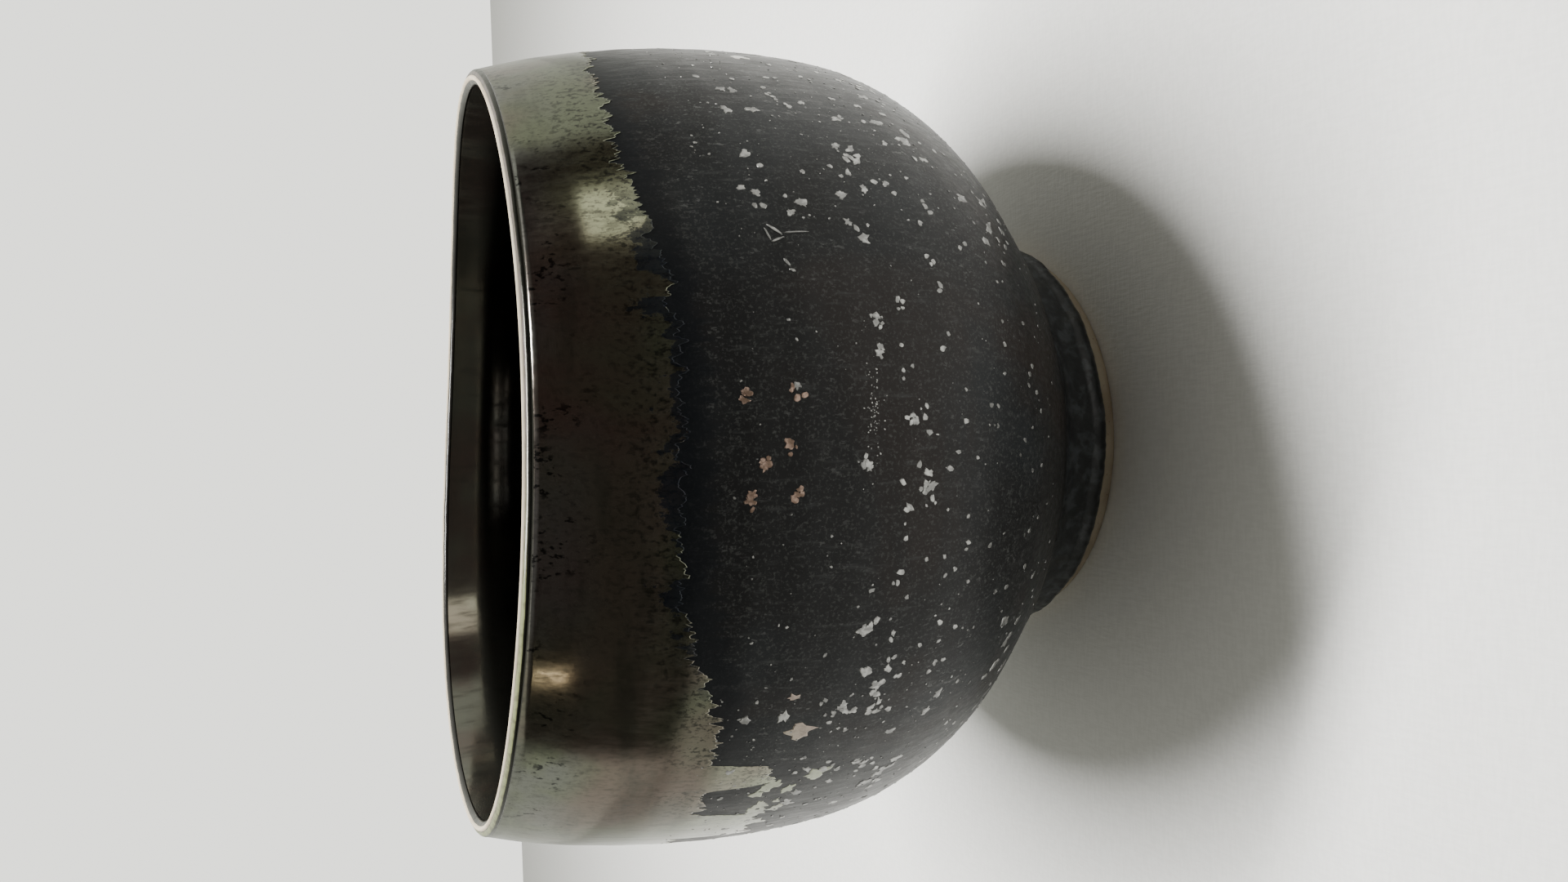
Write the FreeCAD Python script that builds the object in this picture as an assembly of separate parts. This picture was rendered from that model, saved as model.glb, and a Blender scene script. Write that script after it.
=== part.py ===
"""Tea bowl for whisked tea: a thrown stoneware vessel on a turned foot ring, with its coats of glaze.

Millimetres, +Z up. The origin is on the standing plane, on the axis of the vessel. +X is to the right and
-Y to the front for someone who faces the best side of the glaze. Each coat of glaze is a thin solid of its
own that lies face to face on what it covers. The crystals on the satin glaze are thin solids too.
"""
import FreeCAD
import Part

import math
import os
import random

from FreeCAD import Vector

# Outside of the vessel, at the surface of the satin glaze.
BELLY_RADIUS = 60.0
BELLY_HEIGHT = 57.0
UPPER_ARC = 116.0        # the long arc from under the belly to the lip
LOWER_ARC = 39.4         # the round stretch under the belly
ARC_CHANGE_HEIGHT = 48.0  # where the lower arc takes over from the upper one
CONE_HEIGHT = 23.6       # below this the outline runs straight
FACET_HEIGHT = 17.2      # below this the turning tool cut a flatter facet, down to the foot
FACET_SLOPE = 1.25       # how far the facet goes in for each millimetre that it drops

# Inside of the vessel, at the surface of the lining glaze.
INSIDE_BELLY_RADIUS = 55.6
INSIDE_UPPER_ARC = 114.0
INSIDE_LOWER_ARC = 38.0
INSIDE_CHANGE_HEIGHT = 50.0
FLARE_HEIGHT = 86.0      # above this the inside opens again, which thins the lip
FLARE_SLOPE = 0.09       # how far it opens for each millimetre that it rises
POOL_RADIUS = 14.0       # the shallow tea pool in the middle of the floor
POOL_DEPTH = 0.8
POOL_FLAT = 3.0          # radius of the flat middle of the tea pool

# Clay.
UNDERSIDE_HEIGHT = 7.5   # the flat underside of the vessel, which is the roof of the foot's recess
BOSS_RADIUS = 6.0        # the small cone that the turning tool leaves in the middle of the underside
BOSS_DROP = 1.3
BOSS_TIP = 1.2           # radius of the boss's flat tip

# Foot ring.
FOOT_RADIUS = 32.6       # clay, under the glaze
FOOT_TOP = 13.0          # trimmed where it meets the vessel
BASE_OUTER_RADIUS = 31.6
BASE_INNER_RADIUS = 26.0
RECESS_RADIUS = 24.2
BARE_HEIGHT = 3.3        # clay that the glaze leaves bare above the standing plane
BASE_ROUNDING = 0.6

# Coats of glaze.
SATIN_GLAZE = 0.5
LINING_GLAZE = 0.45
LUSTRE_GLAZE = 0.32
LIP_GLAZE = 0.3
FOOT_GLAZE = 0.55
GLAZE_ROLL = 0.3         # how far the foot's glaze swells at its lower edge
CORNER_FILLET = 3.5      # radius of the glaze that pooled in the corner between the foot and the vessel
LUSTRE_BOTTOM = 76.5     # mean height of the lustre band's lower edge
COATS_TOP = 92.6         # where the coats stop and the thin glaze over the lip begins

# Crystals on the satin glaze.
CRYSTAL = 0.06
CRYSTAL_CORNERS = 7
CRYSTAL_SEED = 11
SCATTERED_CRYSTALS = 170
LOWEST_CRYSTAL = 22.0
HIGHEST_CRYSTAL = 70.0

CENTRE = Vector(0, 0, 0)
UP = Vector(0, 0, 1)


class Outline:
    """Half of an outline turned about the axis: an upper arc with its widest point at the belly, and a
    lower arc that meets it with a common tangent. The outside goes on with a straight cone and a flatter
    facet, and the inside with a straight flare at its top. An offset moves the whole outline along its
    outward normal."""

    def __init__(self, radius, upper, lower, change_height, cone_height=None, flare_height=None):
        self.upper = upper
        self.lower = lower
        self.upper_centre = (radius - upper, BELLY_HEIGHT)
        self.change_dip = (BELLY_HEIGHT - change_height) / upper
        across = math.sqrt(1 - self.change_dip ** 2)
        touch = radius - upper + upper * across
        self.lower_centre = (touch - lower * across, change_height + lower * self.change_dip)
        self.change_height = change_height
        self.flare_height = flare_height or math.inf
        self.straight = cone_height is not None
        if self.straight:
            self.cone_dip = (self.lower_centre[1] - cone_height) / lower
            self.cone_slope = self.cone_dip / math.sqrt(1 - self.cone_dip ** 2)
            self.cone_start = self.arc_radius(cone_height, 0.0), cone_height
            facet_radius = self.cone_start[0] - (cone_height - FACET_HEIGHT) * self.cone_slope
            self.facet_start = facet_radius, FACET_HEIGHT

    def arc_radius(self, height, offset):
        """Radius on whichever arc is at this height."""
        if height >= self.change_height - offset * self.change_dip:
            (across, up), arc_size = self.upper_centre, self.upper + offset
        else:
            (across, up), arc_size = self.lower_centre, self.lower + offset
        return across + math.sqrt(arc_size ** 2 - (height - up) ** 2)

    def breaks(self, offset):
        """Heights where one stretch of the outline gives way to the next, from the top."""
        change = self.change_height - offset * self.change_dip
        if not self.straight:
            return [self.flare_height, change]
        cone = self.cone_start[1] - offset * self.cone_dip
        spread = math.hypot(1, FACET_SLOPE) - math.hypot(1, self.cone_slope)
        facet = self.facet_start[1] - offset * spread / (FACET_SLOPE - self.cone_slope)
        return [change, cone, facet]

    def bottom(self, offset=0.0):
        """Lowest height of the lower arc."""
        return self.lower_centre[1] - self.lower - offset

    def radius(self, height, offset=0.0):
        if height > self.flare_height:
            start = self.arc_radius(self.flare_height, offset)
            return start + (height - self.flare_height) * FLARE_SLOPE
        if not self.straight or height >= self.breaks(offset)[1]:
            return self.arc_radius(height, offset)
        start, slope = self.cone_start, self.cone_slope
        if height < self.breaks(offset)[2]:
            start, slope = self.facet_start, FACET_SLOPE
        return start[0] + (height - start[1]) * slope + offset * math.hypot(1, slope)

    def point(self, height, offset=0.0):
        return Vector(self.radius(height, offset), 0, height)

    def normal(self, height):
        """Outward normal at a height of the outline, as (across, up)."""
        step = 0.01
        rise = (self.radius(height + step) - self.radius(height - step)) / (2 * step)
        return 1 / math.hypot(1, rise), -rise / math.hypot(1, rise)

    def edges(self, low, high, offset=0.0):
        """The outline's edges from one height to another."""
        breaks = self.breaks(offset)
        stops = [low] + sorted(b for b in breaks if low < b < high) + [high]
        made = []
        for start, end in zip(stops, stops[1:]):
            first, last = self.point(start, offset), self.point(end, offset)
            on_cone = self.straight and end <= breaks[1] + 1e-9
            if on_cone or start >= self.flare_height:
                made.append(Part.LineSegment(first, last).toShape())
            else:
                middle = self.point((start + end) / 2, offset)
                made.append(Part.Arc(first, middle, last).toShape())
        return made


OUTSIDE = Outline(BELLY_RADIUS, UPPER_ARC, LOWER_ARC, ARC_CHANGE_HEIGHT, CONE_HEIGHT)
INSIDE_ARCS = (INSIDE_UPPER_ARC, INSIDE_LOWER_ARC, INSIDE_CHANGE_HEIGHT)
INSIDE = Outline(INSIDE_BELLY_RADIUS, *INSIDE_ARCS, flare_height=FLARE_HEIGHT)


def line(*points):
    """Straight edges through points given as (across, up)."""
    corners = [Vector(across, 0, up) for across, up in points]
    return [Part.LineSegment(a, b).toShape() for a, b in zip(corners, corners[1:])]


def arc(first, middle, last):
    return [Part.Arc(*(Vector(across, 0, up) for across, up in (first, middle, last))).toShape()]


def turned(edges):
    """A solid of revolution from the edges of a closed half section, in any order."""
    wire = Part.Wire(Part.__sortEdges__(edges))
    return Part.Face(wire).revolve(CENTRE, UP, 360)


def flat(point):
    return point.x, point.z


def over_lip(outside_offset, inside_offset, height):
    """The rounded edge over the lip, between the outside and the inside at the height where it starts."""
    outer = OUTSIDE.radius(height, outside_offset)
    inner = INSIDE.radius(height, inside_offset)
    rise = (outer - inner) * 0.5
    return arc((outer, height), ((outer + inner) / 2, height + rise), (inner, height))


def floor_edges(offset):
    """The floor of the inside at an offset below the lining's surface, from the lower arc to the axis."""
    level = INSIDE.bottom(offset)
    edge = INSIDE.lower_centre[0]
    deepest = level - POOL_DEPTH
    slope_middle = ((POOL_RADIUS + POOL_FLAT) / 2, level - POOL_DEPTH * 0.7)
    slope = arc((POOL_RADIUS, level), slope_middle, (POOL_FLAT, deepest))
    return line((edge, level), (POOL_RADIUS, level)) + slope + line((POOL_FLAT, deepest), (0, deepest))


def clay_vessel():
    """The thrown wall and floor, from the lip to the flat underside with its turned boss."""
    outer_low = UNDERSIDE_HEIGHT
    outer = OUTSIDE.edges(outer_low, COATS_TOP, -SATIN_GLAZE)
    inner = INSIDE.edges(INSIDE.bottom(LINING_GLAZE), COATS_TOP, LINING_GLAZE)
    lip = over_lip(-SATIN_GLAZE, LINING_GLAZE, COATS_TOP)
    floor = floor_edges(LINING_GLAZE)
    rim = OUTSIDE.radius(outer_low, -SATIN_GLAZE)
    boss_tip = UNDERSIDE_HEIGHT - BOSS_DROP
    underside = line((rim, outer_low), (BOSS_RADIUS, outer_low), (BOSS_TIP, boss_tip), (0, boss_tip))
    axis = line((0, boss_tip), (0, INSIDE.bottom(LINING_GLAZE) - POOL_DEPTH))
    return turned(outer + inner + lip + floor + underside + axis)


def lining_glaze():
    """The gloss lining, from under the lip to the tea pool."""
    low_surface, low_clay = INSIDE.bottom(0), INSIDE.bottom(LINING_GLAZE)
    surface = INSIDE.edges(low_surface, COATS_TOP) + floor_edges(0.0)
    under = INSIDE.edges(low_clay, COATS_TOP, LINING_GLAZE) + floor_edges(LINING_GLAZE)
    top = line(flat(INSIDE.point(COATS_TOP)), flat(INSIDE.point(COATS_TOP, LINING_GLAZE)))
    axis = line((0, low_surface - POOL_DEPTH), (0, low_clay - POOL_DEPTH))
    return turned(surface + under + top + axis)


def coat_start():
    """Height where the outside of the clay meets the foot ring's own clay."""
    clay_radius = FOOT_RADIUS + SATIN_GLAZE * math.hypot(1, FACET_SLOPE)
    return OUTSIDE.facet_start[1] - (OUTSIDE.facet_start[0] - clay_radius) / FACET_SLOPE


def satin_glaze():
    """The black satin coat on the outside, from the foot to just under the lip."""
    low = coat_start()
    outer = OUTSIDE.edges(low, COATS_TOP)
    inner = OUTSIDE.edges(low, COATS_TOP, -SATIN_GLAZE)
    top = line(flat(OUTSIDE.point(COATS_TOP)), flat(OUTSIDE.point(COATS_TOP, -SATIN_GLAZE)))
    bottom = line(flat(OUTSIDE.point(low)), flat(OUTSIDE.point(low, -SATIN_GLAZE)))
    return turned(outer + inner + top + bottom)


def lustre_band():
    """The second dip round the upper third, over the satin coat, feathered out at its lower edge."""
    feather = 1.0
    thick_from = LUSTRE_BOTTOM + feather
    outer = OUTSIDE.edges(thick_from, COATS_TOP, LUSTRE_GLAZE)
    inner = OUTSIDE.edges(LUSTRE_BOTTOM, COATS_TOP)
    top = line(flat(OUTSIDE.point(COATS_TOP)), flat(OUTSIDE.point(COATS_TOP, LUSTRE_GLAZE)))
    bottom = line(flat(OUTSIDE.point(LUSTRE_BOTTOM)), flat(OUTSIDE.point(thick_from, LUSTRE_GLAZE)))
    return turned(outer + inner + top + bottom)


def lip_glaze():
    """The thin glaze that breaks over the lip, between the lustre band and the lining."""
    inner = over_lip(-SATIN_GLAZE, LINING_GLAZE, COATS_TOP)
    edge_out, edge_in = OUTSIDE.radius(COATS_TOP, LUSTRE_GLAZE), INSIDE.radius(COATS_TOP)
    clay_out, clay_in = OUTSIDE.radius(COATS_TOP, -SATIN_GLAZE), INSIDE.radius(COATS_TOP, LINING_GLAZE)
    top = COATS_TOP + (clay_out - clay_in) * 0.5 + LIP_GLAZE
    surface = arc((edge_out, COATS_TOP), ((edge_out + edge_in) / 2, top), (edge_in, COATS_TOP))
    outer_side = line((edge_out, COATS_TOP), (clay_out, COATS_TOP))
    inner_side = line((edge_in, COATS_TOP), (clay_in, COATS_TOP))
    return turned(inner + surface + outer_side + inner_side)


def foot_ring(vessel):
    """The turned ring that the bowl stands on, trimmed to the vessel above it."""
    slant = BASE_ROUNDING * 0.3
    outer_corner = (BASE_OUTER_RADIUS, BASE_ROUNDING)
    inner_corner = (BASE_INNER_RADIUS - BASE_ROUNDING, BASE_ROUNDING)
    outer_end = (BASE_OUTER_RADIUS - BASE_ROUNDING, 0)
    inner_end = (BASE_INNER_RADIUS, 0)
    outside = line((FOOT_RADIUS, FOOT_TOP), (FOOT_RADIUS, BARE_HEIGHT), outer_corner)
    outer_round = arc(outer_corner, (BASE_OUTER_RADIUS - slant, slant), outer_end)
    base = line(outer_end, inner_end)
    inner_round = arc(inner_end, (BASE_INNER_RADIUS - BASE_ROUNDING + slant, slant), inner_corner)
    roof = (RECESS_RADIUS, UNDERSIDE_HEIGHT)
    step = OUTSIDE.radius(UNDERSIDE_HEIGHT, -SATIN_GLAZE) - 1
    inside = line(inner_corner, roof, (step, UNDERSIDE_HEIGHT), (step, FOOT_TOP), (FOOT_RADIUS, FOOT_TOP))
    return turned(outside + outer_round + base + inner_round + inside).cut(vessel)


def foot_glaze(vessel, coat, ring):
    """The satin glaze that ran over the foot, pooled in the corner above it and stopped in a thick roll."""
    flank = FOOT_RADIUS + FOOT_GLAZE
    roll_top = BARE_HEIGHT + 2.2
    roll = arc((flank, roll_top), (flank + GLAZE_ROLL, BARE_HEIGHT + 0.9), (FOOT_RADIUS, BARE_HEIGHT))
    turn = math.atan(FACET_SLOPE)
    corner = OUTSIDE.facet_start[1] - (OUTSIDE.facet_start[0] - flank) / FACET_SLOPE
    start = corner - CORNER_FILLET * math.tan(turn / 2)
    centre = flank + CORNER_FILLET
    steps = [0, turn / 2, turn]
    pooled = [(centre - CORNER_FILLET * math.cos(t), start + CORNER_FILLET * math.sin(t)) for t in steps]
    side = line((flank, roll_top), pooled[0]) + arc(*pooled)
    back = line(pooled[2], (FOOT_RADIUS, pooled[2][1]), (FOOT_RADIUS, BARE_HEIGHT))
    return turned(roll + side + back).cut([vessel, coat, ring])


def crystal_prism(angle, height, size, stretch, chance):
    """An irregular many-sided prism that stands square to the satin glaze, at an angle in degrees from
    the front towards the right. size is its mean radius and stretch its height over its width."""
    turn = math.radians(angle - 90)
    outward = Vector(math.cos(turn), math.sin(turn), 0)
    sideways = Vector(-math.sin(turn), math.cos(turn), 0)
    across, rise = OUTSIDE.normal(height)
    normal = outward * across + UP * rise
    upward = normal.cross(sideways) * -1
    seat = outward * OUTSIDE.radius(height) + UP * height
    corners = []
    for i in range(CRYSTAL_CORNERS):
        way = 2 * math.pi * i / CRYSTAL_CORNERS
        reach = size * chance.uniform(0.6, 1.25)
        side, lift = math.cos(way) * reach, math.sin(way) * reach * stretch
        corners.append(seat + sideways * side + upward * lift - normal)
    face = Part.Face(Part.makePolygon(corners + corners[:1]))
    return face.extrude(normal * 2)


def crystals(places, chance):
    """Thin crystals on the satin glaze, one for each place given as (angle, height, size)."""
    low, high = LOWEST_CRYSTAL - 4, LUSTRE_BOTTOM
    outer, inner = OUTSIDE.edges(low, high, CRYSTAL), OUTSIDE.edges(low, high)
    ends = [line(flat(OUTSIDE.point(h)), flat(OUTSIDE.point(h, CRYSTAL))) for h in (low, high)]
    layer = turned(outer + inner + ends[0] + ends[1])
    prisms = [crystal_prism(*place, chance.uniform(0.7, 1.3), chance) for place in places]
    return Part.makeCompound(layer.common(prisms).Solids)


# The copper-coloured crystals on the front, as (angle, height, size).
COPPER_PLACES = [
    (1, 71.0, 1.0), (7, 69.0, 1.1), (0, 66.0, 1.0), (-7, 68.0, 0.9), (-8, 63.0, 1.1), (-2, 62.5, 0.8),
]


def apart(place, others, gap):
    """Whether a crystal keeps a gap to the edges of all the others."""
    for angle, height, size in others:
        side = math.radians((place[0] - angle + 180) % 360 - 180) * BELLY_RADIUS
        if math.hypot(side, place[1] - height) < 1.3 * (size + place[2]) + gap:
            return False
    return True


def silver_places(chance):
    """Scattered places for the silver crystals, thickest low on the belly and clear of each other."""
    places = []
    while len(places) < SCATTERED_CRYSTALS:
        share = chance.random() ** 1.3
        height = LOWEST_CRYSTAL + (HIGHEST_CRYSTAL - LOWEST_CRYSTAL) * share
        size = chance.uniform(0.45, 1.15)
        place = (chance.uniform(-180, 180), height, size)
        if apart(place, places + COPPER_PLACES, 0.5):
            places.append(place)
    return places


def main():
    chance = random.Random(CRYSTAL_SEED)
    vessel, coat = clay_vessel(), satin_glaze()
    ring = foot_ring(vessel)
    nodes = {
        "clay_vessel": vessel,
        "foot_ring": ring,
        "lining_glaze": lining_glaze(),
        "satin_glaze": coat,
        "lustre_band": lustre_band(),
        "lip_glaze": lip_glaze(),
        "foot_glaze": foot_glaze(vessel, coat, ring),
        "copper_crystals": crystals(COPPER_PLACES, chance),
        "silver_crystals": crystals(silver_places(chance), chance),
    }
    os.makedirs("parts", exist_ok=True)
    for name, shape in nodes.items():
        shape.exportStep(f"parts/{name}.step")
        print(f"{name}: {len(shape.Solids)} solids, valid {shape.isValid()}, {shape.Volume:.1f} mm3")


main()
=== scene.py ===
import math
import random

import bpy
import numpy as np
from mathutils import Matrix, Vector, noise


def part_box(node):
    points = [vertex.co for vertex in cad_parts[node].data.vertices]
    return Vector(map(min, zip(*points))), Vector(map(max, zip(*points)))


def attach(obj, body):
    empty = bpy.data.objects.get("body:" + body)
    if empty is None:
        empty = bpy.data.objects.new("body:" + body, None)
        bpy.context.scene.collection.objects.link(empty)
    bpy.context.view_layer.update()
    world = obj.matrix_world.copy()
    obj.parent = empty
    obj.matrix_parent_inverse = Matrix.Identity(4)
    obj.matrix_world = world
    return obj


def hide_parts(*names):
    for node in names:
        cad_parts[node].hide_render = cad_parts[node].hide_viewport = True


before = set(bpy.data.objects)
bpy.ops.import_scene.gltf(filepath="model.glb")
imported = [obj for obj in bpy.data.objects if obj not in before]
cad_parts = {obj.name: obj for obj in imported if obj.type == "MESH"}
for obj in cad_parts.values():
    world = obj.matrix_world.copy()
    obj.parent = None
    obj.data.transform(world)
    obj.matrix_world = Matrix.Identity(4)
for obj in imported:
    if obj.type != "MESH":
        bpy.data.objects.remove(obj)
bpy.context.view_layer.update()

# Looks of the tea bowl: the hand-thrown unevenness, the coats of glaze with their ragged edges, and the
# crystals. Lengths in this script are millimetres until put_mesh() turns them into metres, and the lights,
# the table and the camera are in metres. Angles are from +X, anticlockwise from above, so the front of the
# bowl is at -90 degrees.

MM = 0.001


def low(node, axis):
    """A CAD node's lowest coordinate along an axis, in millimetres."""
    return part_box(node)[0][axis] / MM


def high(node, axis):
    """A CAD node's highest coordinate along an axis, in millimetres."""
    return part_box(node)[1][axis] / MM


# Thicknesses of the coats of glaze. The lustre is half as thick as its CAD node.
SATIN, LINING, LUSTRE, FOOT_COAT = 0.5, 0.45, 0.16, 0.55
THIN_EDGE = 0.03         # thickness of the lustre at its lower edge
TUCK = 0.06              # how far the lustre's hidden face lies inside the satin coat
CLEAR = 0.02             # gap between the clay and the coats on it, so that their faces don't meet
CAD_BOSS, BOSS = 1.3, 1.2  # depth of the cone in the middle of the underside, in the CAD model and here

# Sizes read from the CAD nodes.
BELLY = high("satin_glaze", 0)
COATS_TOP = high("satin_glaze", 2)
COAT_START = low("satin_glaze", 2)
LIP_TOP = high("lip_glaze", 2)
INSIDE_BELLY = high("lining_glaze", 0) - LINING
FOOT_GLAZE_TOP = high("foot_glaze", 2)
BARE_HEIGHT = low("foot_glaze", 2)
FOOT_CLAY = high("foot_ring", 0)
UNDERSIDE = low("clay_vessel", 2) + CAD_BOSS

# The outline's arcs, as in the CAD model.
BELLY_HEIGHT = 57.0
UPPER_ARC, LOWER_ARC, ARC_CHANGE = 116.0, 39.4, 48.0
CONE_HEIGHT, FACET_HEIGHT, FACET_SLOPE = 23.6, 17.2, 1.25
INSIDE_UPPER_ARC, INSIDE_LOWER_ARC, INSIDE_CHANGE = 114.0, 38.0, 50.0
FLARE_HEIGHT, FLARE_SLOPE, FLARE_ROUNDING = 86.0, 0.09, 0.3
POOL_RADIUS, POOL_DEPTH = 14.0, 0.8
BASE_OUTER, BASE_INNER, RECESS, BASE_ROUNDING = 31.6, 26.0, 24.2, 0.6

# Hand-thrown unevenness: the rim's rise and fall once, twice and three times round, as (cosine, sine) shares,
# and how far the belly leans up on one side.
RIM_ONCE, RIM_TWICE, RIM_THRICE = (-1.77, 0.16), (0.63, -0.5), 0.31
LEAN = 0.875
RIM_WAVE_START = 68.0    # the rim's wave fades out downwards to this height

# The foot's glaze.
CORNER_FILLET = 3.4      # radius of the glaze pooled in the corner between the foot and the vessel
ROLL_HEIGHT, ROLL_BULGE = 3.0, 0.42
FOOT_COAT_DROP = 0.6     # how far it reaches below its CAD node

# Meshes.
EDGE_ROW = 0.04          # how close the last row is to an edge, so that the edge's shading stays narrow
EDGE_COLUMNS = 2300      # columns round the lustre band, enough for the teeth of its edge
LIP_ROWS, LIP_UNDER_ROWS = 23, 9

FRONT = -90.0
SEED = 7


# ---------------------------------------------------------------- shape of the bowl

def smooth(low_end, high_end, value):
    """0 below low_end, 1 above high_end, and an even S between."""
    t = np.clip((value - low_end) / (high_end - low_end), 0, 1)
    return t * t * (3 - 2 * t)


def arcs(widest, upper, lower, change, z):
    """Radius at heights z of an outline of two arcs that meet smoothly at the height change."""
    dip = (BELLY_HEIGHT - change) / upper
    across = math.sqrt(1 - dip * dip)
    centre = widest - upper + (upper - lower) * across
    top = widest - upper + np.sqrt(upper ** 2 - (z - BELLY_HEIGHT) ** 2)
    drop = np.clip((z - change - lower * dip) / lower, -1, 1)
    return np.where(z >= change, top, centre + lower * np.sqrt(1 - drop ** 2))


def outside(z):
    """Radius of the outside at heights z: two arcs, a cone and a flatter facet next to the foot."""
    z = np.asarray(z, float)
    args = (BELLY, UPPER_ARC, LOWER_ARC, ARC_CHANGE)
    cone = float(arcs(*args, np.array(CONE_HEIGHT)))
    slope = (float(arcs(*args, np.array(CONE_HEIGHT + 0.01))) - cone) / 0.01
    facet = cone - (CONE_HEIGHT - FACET_HEIGHT) * slope
    on_cone = cone + (z - CONE_HEIGHT) * slope
    on_facet = facet + (z - FACET_HEIGHT) * FACET_SLOPE
    straight = np.where(z >= FACET_HEIGHT, on_cone, on_facet)
    return np.where(z >= CONE_HEIGHT, arcs(*args, z), straight)


def inside(z):
    """Radius of the inside at heights z: two arcs, and a flare near the top that thins the lip."""
    z = np.asarray(z, float)
    args = (INSIDE_BELLY, INSIDE_UPPER_ARC, INSIDE_LOWER_ARC, INSIDE_CHANGE)
    arc = arcs(*args, z)
    flare = float(arcs(*args, np.array(FLARE_HEIGHT))) + (z - FLARE_HEIGHT) * FLARE_SLOPE
    rounded = (arc + flare + np.hypot(arc - flare, FLARE_ROUNDING)) / 2
    return np.where(z > BELLY_HEIGHT + 15, rounded, arc)


def pushed(outline, z, distance):
    """Radii and heights of an outline's points at heights z, moved outwards along its normal by distance."""
    z = np.asarray(z, float)
    slope = (outline(z + 0.02) - outline(z - 0.02)) / 0.04
    size = np.hypot(1, slope)
    return outline(z) + distance / size, z - distance * slope / size


def handmade(angle, radius, height):
    """Moves points of the true round bowl to where hand throwing left them. Gives x, y and z."""
    cos1, sin1 = np.cos(angle), np.sin(angle)
    rim_wave = RIM_ONCE[0] * cos1 + RIM_ONCE[1] * sin1
    rim_wave = rim_wave + RIM_TWICE[0] * np.cos(2 * angle) + RIM_TWICE[1] * np.sin(2 * angle)
    rim_wave = rim_wave + RIM_THRICE * np.cos(3 * angle)
    share = np.clip((height - FOOT_GLAZE_TOP) / (LIP_TOP - FOOT_GLAZE_TOP), 0, 1)
    lift = rim_wave * smooth(RIM_WAVE_START, LIP_TOP, height) - LEAN * np.sin(math.pi * share) * cos1
    belly = smooth(12, 30, height)
    round_error = 0.18 * np.cos(2 * angle + 0.7) + 0.10 * np.cos(5 * angle - height * 0.05)
    throwing = 0.018 * np.sin(height * 1.05 + angle)
    radius = radius + belly * (round_error + throwing)
    return radius * cos1, radius * sin1, height + lift


def wander(angle, scale, seed, octaves=3):
    """Smooth noise that closes on itself round the bowl, about -1 to 1. It has about scale waves for each
    radian round it."""
    values = [
        noise.fractal(Vector((math.cos(a) * scale, math.sin(a) * scale, seed)), 0.9, 2.1, octaves)
        for a in np.ravel(angle)
    ]
    return np.reshape(values, np.shape(angle))


# ---------------------------------------------------------------- meshes

def put_mesh(name, points, faces, material, node):
    """A smooth-shaded object from points in millimetres that rides on the bowl and stands for a CAD node."""
    mesh = bpy.data.meshes.new(name)
    mesh.from_pydata((np.asarray(points) * MM).tolist(), [], faces)
    mesh.validate()
    mesh.polygons.foreach_set("use_smooth", [True] * len(mesh.polygons))
    mesh.materials.append(material)
    piece = bpy.data.objects.new(name, mesh)
    bpy.context.scene.collection.objects.link(piece)
    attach(piece, "root")
    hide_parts(node)
    return piece


def spin(name, radius, height, angles, material, node, loop):
    """A turned mesh. radius and height have a row for each ring and a column for each angle. With loop the
    last ring joins the first. Without it each end closes in a point on the axis."""
    rows, columns = radius.shape
    x, y, z = handmade(angles[None, :], radius, height)
    points = np.stack([x, y, z], -1).reshape(-1, 3)
    index = np.arange(rows * columns).reshape(rows, columns)
    after = np.roll(index, -1, axis=1)
    last = rows if loop else rows - 1
    faces = []
    for row in range(last):
        above = (row + 1) % rows
        ring = np.stack([index[row], after[row], after[above], index[above]], -1)
        faces += ring.tolist()
    if not loop:
        for row, flip in ((0, False), (rows - 1, True)):
            centre = len(points)
            ends = np.array([[0, 0, points[index[row]][:, 2].mean()]])
            points = np.concatenate([points, ends])
            pairs = zip(index[row].tolist(), after[row].tolist())
            faces += [[a, b, centre] if flip else [b, a, centre] for a, b in pairs]
    return put_mesh(name, points, faces, material, node)


def rings(path, columns):
    """Rows for spin() from one path of (radius, height) points, and the angles."""
    angles = np.linspace(-math.pi, math.pi, columns, endpoint=False)
    path = np.asarray(path, float)
    radius = np.repeat(path[:, :1], columns, axis=1)
    height = np.repeat(path[:, 1:], columns, axis=1)
    return radius, height, angles


def lip_arc(outer, inner, rise, count):
    """Points over the lip from outer to inner, both (radius, height), which rise by rise in the middle."""
    steps = np.linspace(0, math.pi, count)
    middle = (outer[0] + inner[0]) / 2
    half = (outer[0] - inner[0]) / 2
    return [(middle + half * math.cos(t), outer[1] + rise * math.sin(t) ** 0.8) for t in steps]


def inside_path(distance, wall_rows, round_rows):
    """The inside from the middle of the floor to the coats' top, moved outwards by distance."""
    dip = (BELLY_HEIGHT - INSIDE_CHANGE) / INSIDE_UPPER_ARC
    across = math.sqrt(1 - dip * dip)
    size = INSIDE_LOWER_ARC
    centre = INSIDE_BELLY - INSIDE_UPPER_ARC + (INSIDE_UPPER_ARC - size) * across
    level = INSIDE_CHANGE + size * dip
    floor = level - size - distance
    path = []
    for r in (1.5, 3, 5, 7, 9, 11, 12.5, 14, 16):
        depth = POOL_DEPTH * (1 - smooth(3, POOL_RADIUS, r))
        path.append((r, floor - depth))
    for t in np.linspace(math.pi / 2, math.asin(dip), round_rows):
        path.append((centre + (size + distance) * math.cos(t), level - (size + distance) * math.sin(t)))
    for z in [*np.linspace(INSIDE_CHANGE + 0.8, COATS_TOP - EDGE_ROW, wall_rows), COATS_TOP]:
        r, up = pushed(inside, z, distance)
        path.append((float(r), min(float(up), COATS_TOP)))
    return path


def outside_rows(start, end, count, distance):
    """(radius, height) points up or down the outside between two heights, moved outwards by distance."""
    radius, height = pushed(outside, np.linspace(start, end, count), distance)
    return list(zip(radius.tolist(), np.minimum(height, COATS_TOP).tolist()))


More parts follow.
